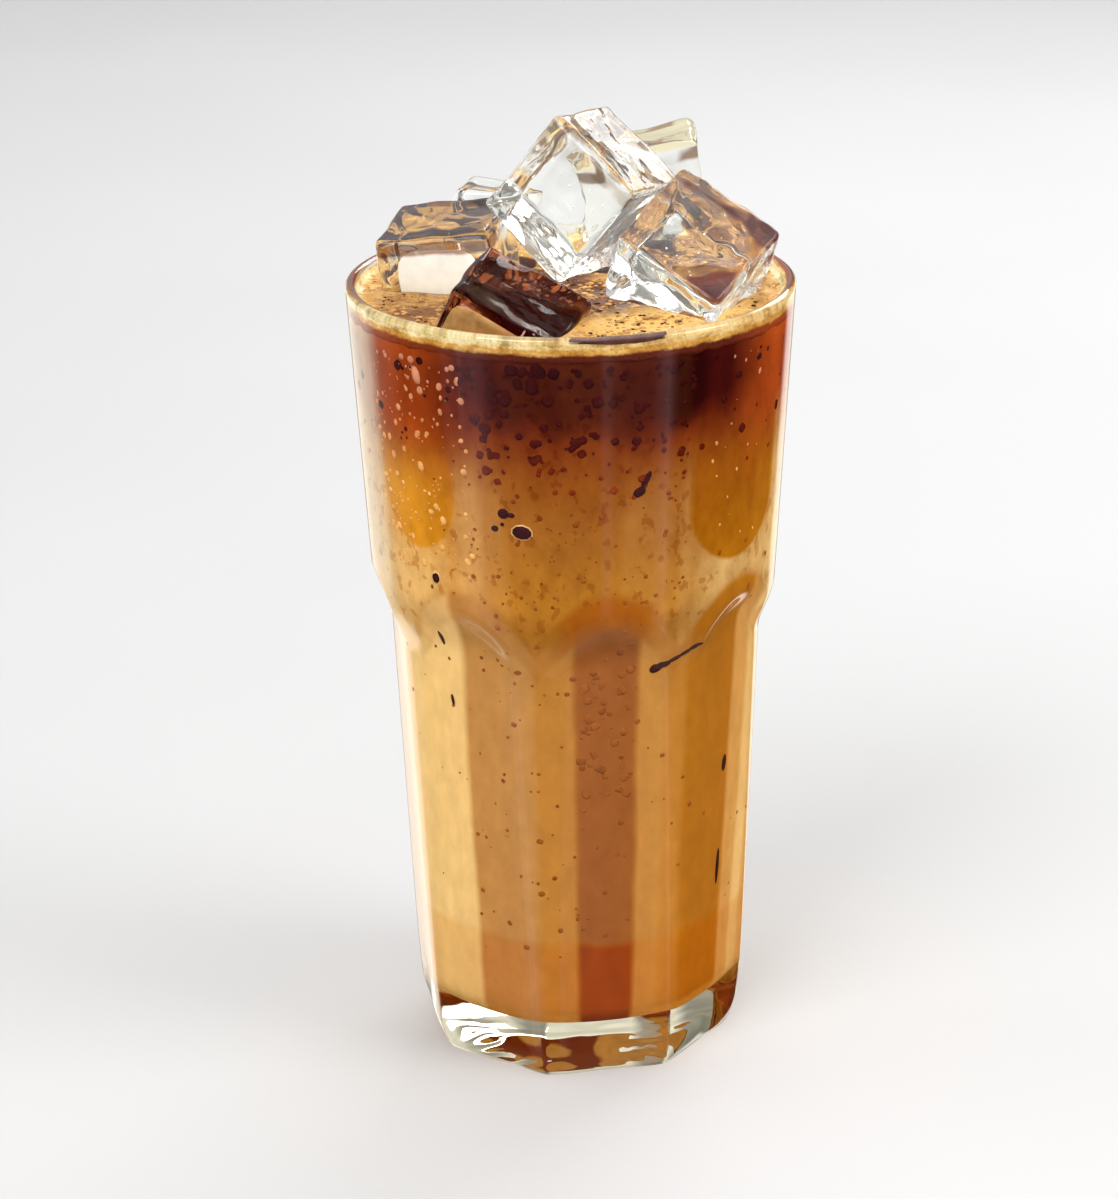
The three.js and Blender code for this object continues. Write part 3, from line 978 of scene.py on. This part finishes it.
# Slot, roughness, tones by height in millimetres, and the share of mottling where it isn't 1
BUBBLES = {
    "dark_bubbles": ("black_coffee", 0.2, (
        (25, "985818"), (98, "a05c26"), (110, "9c5612"), (120, "984808"), (128, "822c08"), (136, "4c0c06"),
        (154, "300408"))),
    # bubbles painted bright as glints of light
    "glinting_bubbles": ("black_coffee", 0.2, (
        (100, "f4bc68"), (125, "f8c47c"), (135, "e4a064"), (152, "d4907a"))),
    "coffee_specks": ("milk_coffee", 0.25, ((25, "3a1a12"), (130, "3c141c"))),
    "speck_rims": ("milk_coffee", 0.2, ((25, "ecc890"), (130, "e6bc84"))),
    "rim_smear": ("foam", 0.25, ((156.2, "6e4038"), (156.7, "5c3434"), (157.1, "a08478"))),
    "froth_bubbles": ("foam", 0.1, ((154, "9a6c34"), (157, "d0a468"))),
    "froth_holes": ("foam", 0.1, ((154, "4a2410"), (157, "3c1a0a"))),
    "air_in_ice": ("ice", 0.1, ((150, "e8e8e0"), (190, "f4f4ee"))),
    "froth_on_ice": ("foam", 0.2, ((145, "5a3418"), (152, "96693a"), (158, "b08450"))),
    "white_patch_in_ice": ("ice", 0.3, ((150, "f2e6cc"), (158, "faf6ec"), (170, "fdfbf6")), 0.2),
}
SPOTS = ((0.3, (0.7, 0.66, 0.6)), (0.7, 1.15))  # tones of the mottling, by noise

# Specks on the wall: angle, height, full width, full height and tilt
SPECKS = (
    (-19.2, 122.4, 2.3, 2.2, 20),
    (-17.0, 122.2, 1.6, 1.1, -10),
    (-14.1, 118.8, 4.0, 2.9, -6),
    (-21.8, 119.2, 1.5, 1.3, 0),
    (-19.6, 120.2, 0.8, 0.8, 0),
    (18.0, 126.6, 2.8, 2.0, 35),
    (19.8, 128.9, 4.0, 1.3, 62),
    (-42.3, 106.6, 1.9, 2.3, 0),
    (-47.0, 92.9, 1.1, 4.4, 12),
    (-44.2, 79.6, 0.9, 2.6, 10),
    (61.0, 62.1, 1.8, 3.8, -6),
    (60.2, 39.4, 1.3, 8.6, -2),
    (26.8, 88.4, 3.0, 2.0, 28),
    (29.4, 89.3, 3.2, 1.5, 26),
    (32.8, 90.4, 3.4, 1.2, 24),
    (36.4, 91.4, 3.2, 1.1, 24),
    (39.6, 92.3, 2.8, 1.2, 20),
    (152.0, 112.0, 3.0, 2.2, 15),
    (160.0, 96.0, 1.8, 3.4, -10),
    (-140.0, 124.0, 2.2, 1.8, 0),
    (-118.0, 84.0, 1.4, 4.2, 8),
    (110.0, 104.0, 2.0, 2.6, 20),
)
RINGED_SPECKS = [SPECKS[number] for number in (2, 7, 8, 9)]
# Larger painted glints high on the left
GLINTS = ((-44.0, 147.5, 2.2, 4.0, 12), (-45.5, 150.4, 1.8, 1.6, 12), (-43.0, 144.6, 1.6, 1.8, 12))
# A brown smear inside the rim, right of the middle
SMEAR_HEIGHTS = (0.25, 0.34, 0.45, 0.62, 0.88, 1.05, 0.92, 1.10, 1.00, 0.78, 0.42)
SMEAR = [(2 + 2 * step, 156.8, 4.2, tall, 0) for step, tall in enumerate(SMEAR_HEIGHTS)]


def bubble_material(name, roughness, tones, mottled=1.0):
    material, tree, shader = new_material(name, Roughness=roughness, IOR=WATER_IOR, Specular_IOR_Level=0.1)
    place = object_place(tree)
    colour = by_height(tree, axes_of(tree, place)["Z"], tones)
    spots = ramp(tree, noise(tree, place, 420.0), SPOTS)
    add_colour(tree, shader, blend(tree, mottled, colour, spots, "MULTIPLY"))
    return material


def pebble(columns=10, rings=5, boxy=1.0):
    """Points and faces of a small round body of half size 1, squarer where boxy is larger."""
    turns = np.linspace(0, math.pi, rings + 1)
    profile = [(math.sin(t), -math.cos(t)) for t in turns]
    points, faces = revolved(profile, columns)
    power = 2 * boxy
    size = (np.abs(points) ** power).sum(1) ** (1 / power)
    return points / size[:, None], faces


def scatter(name, body, spots):
    """One piece of many copies of a body. A spot is a centre, three axes as rows, and the half sizes."""
    template, faces = body
    slot, *look = BUBBLES[name]
    points = []
    all_faces = []
    for count, (centre, axes, half) in enumerate(spots):
        points.append(centre + (template * half) @ axes)
        all_faces += [[k + count * len(template) for k in face] for face in faces]
    piece = add_piece(name, np.concatenate(points), all_faces, bubble_material(name, *look))
    finish_piece(piece)


def between(draw, near, far, crowding):
    """A random value from near to far, more often near where crowding is above 1."""
    return near + (far - near) * draw.uniform() ** crowding


def on_wall(angle, z, tilt):
    """A place on the drink's side, and axes along the wall, up it and out of it."""
    turn = math.radians(angle)
    slope = float(wall_radius(z + 0.1) - wall_radius(z - 0.1)) / 0.2
    out_way = np.array([math.sin(turn), -math.cos(turn), 0.0])
    beside = np.array([math.cos(turn), math.sin(turn), 0.0])
    upward = np.array([*(out_way[:2] * slope), 1.0]) / math.hypot(slope, 1)
    normal = np.cross(beside, upward)
    lean = math.radians(tilt)
    first = beside * math.cos(lean) + upward * math.sin(lean)
    second = upward * math.cos(lean) - beside * math.sin(lean)
    return polar(turn, float(wall_radius(z)) + INTO_WALL, z), np.stack([first, second, normal])


def front_half(angle):
    """The same angle within -90 to 90 degrees, as the streaks repeat at the back."""
    return (angle + 90) % 180 - 90


def fine_speck(draw, angle, z, sizes):
    centre, axes = on_wall(angle, z, draw.uniform(-90, 90))
    size = between(draw, *sizes, 1.5)
    return centre, axes, (size * 1.2, size, SPECK_THICKNESS * 0.6)


def dark_bubbles(draw):
    """Dark bubbles under the froth, most between the bands free of painted reflection, and finer specks
    below.
    """
    spots = []
    while len(spots) < DARK_BUBBLE_COUNT:
        angle = draw.uniform(-180, 180)
        z = between(draw, 151.5, 103.5, 1.5)
        middle = -30 < front_half(angle) < 34
        if not middle and draw.uniform() > 0.1:
            continue
        size = between(draw, 0.30, 1.15, 2) * np.clip((z - 100) / 45, 0.3, 1)
        centre, axes = on_wall(angle, z, draw.uniform(-90, 90))
        half = (size * draw.uniform(0.9, 1.4), size, SPECK_THICKNESS * draw.uniform(0.8, 1.2))
        spots.append((centre, axes, half))
    for _ in range(FINE_SPECK_COUNT):
        angle = draw.uniform(-180, 180)
        if not -38 < front_half(angle) < 21 and draw.uniform() < 0.85:
            continue
        spots.append(fine_speck(draw, angle, between(draw, 112, 26, 1.2), (0.12, 0.52)))
    for _ in range(LOW_SPECK_COUNT):
        spots.append(fine_speck(draw, draw.uniform(1, 19), draw.uniform(62, 93), (0.25, 0.85)))
    return spots


def specks_at(specks, grow, thickness):
    spots = []
    for angle, z, wide, tall, tilt in specks:
        spots.append((*on_wall(angle, z, tilt), (wide / 2 + grow, tall / 2 + grow, thickness)))
    return spots


def glinting_bubbles(draw):
    """Beads painted bright as glints of light, in the side bands, most of them in the left one."""
    spots = []
    while len(spots) < GLINTING_BUBBLE_COUNT:
        angle = draw.uniform(-180, 180)
        side = front_half(angle)
        left = -63 < side < -29
        right = 40 < side < 60
        if not (left or right and draw.uniform() < 0.3):
            continue
        z = between(draw, 150.5, 106.5, 1.15)
        size = between(draw, 0.13, 0.63, 2.2) * (1.0 if left else 0.6)
        centre, axes = on_wall(angle, z, draw.uniform(-25, 25))
        spots.append((centre, axes, (size * 1.25, size * draw.uniform(1.0, 1.9), SPECK_THICKNESS)))
    return spots + specks_at(GLINTS, 0.0, SPECK_THICKNESS)


def foam_bubbles(draw, count, sizes):
    """Bubbles on the froth, clear of the ice."""
    spots = []
    while len(spots) < count:
        radius = FROTH_BUBBLE_REACH * math.sqrt(draw.uniform())
        centre = polar(draw.uniform(0, math.tau), radius, FOAM_TOP_Z)
        if any((np.abs((centre - middle) @ basis.T) < half).all() for middle, basis, half in CUBES.values()):
            continue
        size = between(draw, *sizes, 2.5)
        spots.append((centre, np.eye(3), (size, size, size * FROTH_BUBBLE_HEIGHT)))
    return spots


def air_in_ice(draw):
    """Small bubbles frozen in near the middle of each cube."""
    spots = []
    for centre, basis, half in CUBES.values():
        for _ in range(AIR_BUBBLE_COUNT):
            local = np.clip(draw.normal(size=3) * 0.3, -0.7, 0.7) * half
            size = between(draw, 0.07, 0.29, 2)
            spots.append((centre + local @ basis, np.eye(3), (size, size, size)))
    return spots


def make_bubbles():
    """Bubbles, some with painted glints, specks, froth on the front cube, and a white patch in the left one.
    """
    draw = np.random.default_rng(11)
    bead = pebble()
    front = (0, -1, 0)
    scatter("dark_bubbles", pebble(boxy=2.2), dark_bubbles(draw))
    scatter("glinting_bubbles", bead, glinting_bubbles(draw))
    scatter("coffee_specks", bead, specks_at(SPECKS, 0.0, 0.3))
    scatter("speck_rims", bead, specks_at(RINGED_SPECKS, 0.3, 0.12))
    scatter("rim_smear", bead, specks_at(SMEAR, 0.0, 0.16))
    scatter("froth_bubbles", bead, foam_bubbles(draw, 1700, (0.18, 0.85)))
    scatter("froth_holes", bead, foam_bubbles(draw, 500, (0.16, 0.6)))
    scatter("air_in_ice", pebble(8, 4), air_in_ice(draw))
    scatter("froth_on_ice", pebble(48, 12, 4.0), [face_patch("ice_front", front, 0.25, 0.84, 0.5)])
    # a flat white patch under the front face of the left cube
    scatter("white_patch_in_ice", pebble(48, 12, 2.2), [face_patch("ice_left", front, 2.2, 0.70, 0.9)])


# Camera, floor and light

PHOTO_HEIGHT = 1199
SENSOR_HEIGHT = 36.0
VIEW_ELEVATION = math.radians(20.15)
VIEW_DISTANCE = 0.7262
VIEW_TARGET = Vector((0, 0, 0.091))
VIEW_FOCUS = 3606.7  # in pixels of the photograph
VIEW_ROLL = 0.01165
VIEW_SHIFT = 15.28  # pixels by which the glass stands right of the middle


def make_camera():
    data = bpy.data.cameras.new("camera")
    data.sensor_fit = "VERTICAL"
    data.sensor_height = SENSOR_HEIGHT
    data.lens = VIEW_FOCUS * SENSOR_HEIGHT / PHOTO_HEIGHT
    data.shift_x = -VIEW_SHIFT / PHOTO_HEIGHT
    data.clip_start = 0.01
    camera = bpy.data.objects.new("camera", data)
    back = Vector((0, -math.cos(VIEW_ELEVATION), math.sin(VIEW_ELEVATION)))
    turn = Matrix.Rotation(math.pi / 2 - VIEW_ELEVATION, 4, "X") @ Matrix.Rotation(-VIEW_ROLL, 4, "Z")
    camera.matrix_world = Matrix.Translation(VIEW_TARGET + back * VIEW_DISTANCE) @ turn
    bpy.context.scene.collection.objects.link(camera)
    bpy.context.scene.camera = camera


# The floor under the glass, in millimetres
GROUND_Z = -0.02
GROUND_REACH = 3000.0
GROUND_CELLS = 12


def floor_material():
    material, tree, shader = new_material("pale_floor", Roughness=0.7)
    uneven = noise(tree, object_place(tree), 4.0)
    add_colour(tree, shader, ramp(tree, uneven, ((0.3, 0.56), (0.7, 0.585))))
    return material


def make_floor():
    steps = np.linspace(-GROUND_REACH, GROUND_REACH, GROUND_CELLS + 1)
    x, y = np.meshgrid(steps, steps)
    points = np.stack([x.ravel(), y.ravel(), np.full(x.size, GROUND_Z)], -1)
    faces = []
    for row in range(GROUND_CELLS):
        for column in range(GROUND_CELLS):
            a = row * len(steps) + column
            faces.append((a, a + 1, a + len(steps) + 1, a + len(steps)))
    floor = add_piece("floor", points, faces, floor_material())
    floor.visible_glossy = False


# Surroundings: brightness by direction in degrees from the front, below the horizon, and above it as a share
# of LIGHT_BY_HEIGHT
AROUND_LIGHT = (
    (-180, 0.35), (-170, 0.35), (-163, 1.6), (-132, 1.7), (-122, 0.5), (-100, 0.05), (-74, 0.04),
    (-70, 0.30), (-63, 0.35), (-61, 0.80), (-57, 0.55), (-53, 0.75), (-49, 0.60), (-42, 0.20), (-20, 0.08),
    (14, 0.10), (17, 0.48), (20, 0.48), (23, 0.14), (43, 0.14), (47, 0.40), (52, 0.80), (55, 0.30),
    (58, 0.03), (146, 0.03), (152, 1.5), (163, 1.5), (170, 0.35), (180, 0.35),
)
UPPER_LIGHT = (
    (-180, 1.3), (-160, 1.3), (-150, 0.5), (-125, 0.5), (-115, 1.4), (-85, 1.4), (-75, 0.6), (-40, 0.6),
    (-30, 1.4), (-5, 1.4), (5, 0.6), (40, 0.6), (50, 1.5), (100, 1.5), (106, 0.5), (122, 0.5), (130, 1.4),
    (150, 1.4), (156, 0.5), (168, 0.5), (174, 1.3), (180, 1.3),
)
LIGHT_BY_HEIGHT = ((0.0, 0.3), (0.35, 0.55), (0.7, 1.0))
FRONT_TINT = (1.0, 0.76, 0.84)
BACK_TINT = (1.0, 0.97, 0.88)
LIGHT_FROM_BELOW = (0.3, 0.28, 0.22)
STEEPLY_DOWN = (0.62, 0.85)

# Lamps, in metres: name, place, target, size and power
LAMPS = (
    ("key", (-0.5, -0.7, 0.9), (0, 0, 0.1), (0.6, 0.6), 8.0),
    ("side", (0.9, -0.3, 0.6), (0, 0, 0.08), (0.5, 0.5), 5.0),
    ("back", (0.4, 0.9, 0.7), (0, 0, 0.1), (0.7, 0.4), 5.0),
)


def make_world():
    world = bpy.data.worlds.new("studio")
    world.use_nodes = True
    tree = world.node_tree
    x, y, z = axes_of(tree, put(tree, "ShaderNodeTexCoord").outputs["Generated"])
    turn = stretch(tree, turn_of(tree, x, y), -math.pi, math.pi, "LINEAR")
    stops = []
    for angle, value in AROUND_LIGHT:
        tint = FRONT_TINT if abs(angle) < 90 else BACK_TINT
        stops.append(((angle + 180) / 360, [value * tone for tone in tint]))
    down = stretch(tree, times(tree, z, -1.0), *STEEPLY_DOWN)
    below = blend(tree, down, ramp(tree, turn, stops), LIGHT_FROM_BELOW)
    upper = ramp(tree, turn, [((angle + 180) / 360, value) for angle, value in UPPER_LIGHT])
    above = blend(tree, 1.0, ramp(tree, z, LIGHT_BY_HEIGHT), upper, "MULTIPLY")
    light = blend(tree, maths(tree, "GREATER_THAN", z, 0.0), below, above)
    feed(tree, light, tree.nodes["Background"].inputs["Color"])
    bpy.context.scene.world = world


def make_lamps():
    for name, place, target, size, power in LAMPS:
        data = bpy.data.lights.new(name, "AREA")
        data.shape = "RECTANGLE"
        data.size, data.size_y = size
        data.energy = power
        lamp = bpy.data.objects.new(name, data)
        lamp.location = place
        lamp.rotation_euler = (Vector(target) - Vector(place)).to_track_quat("-Z", "Y").to_euler()
        bpy.context.scene.collection.objects.link(lamp)


make_camera()
make_floor()
make_world()
make_lamps()
bpy.context.scene.view_settings.view_transform = "Standard"
bpy.context.scene.cycles.sample_clamp_indirect = 4.0

make_glass()
coffee = drink_material()
cutters = make_cutters(coffee)
make_drink(coffee, cutters)
make_foam(cutters)
for cutter in cutters:
    bpy.data.objects.remove(cutter)
make_ice()
make_bubbles()
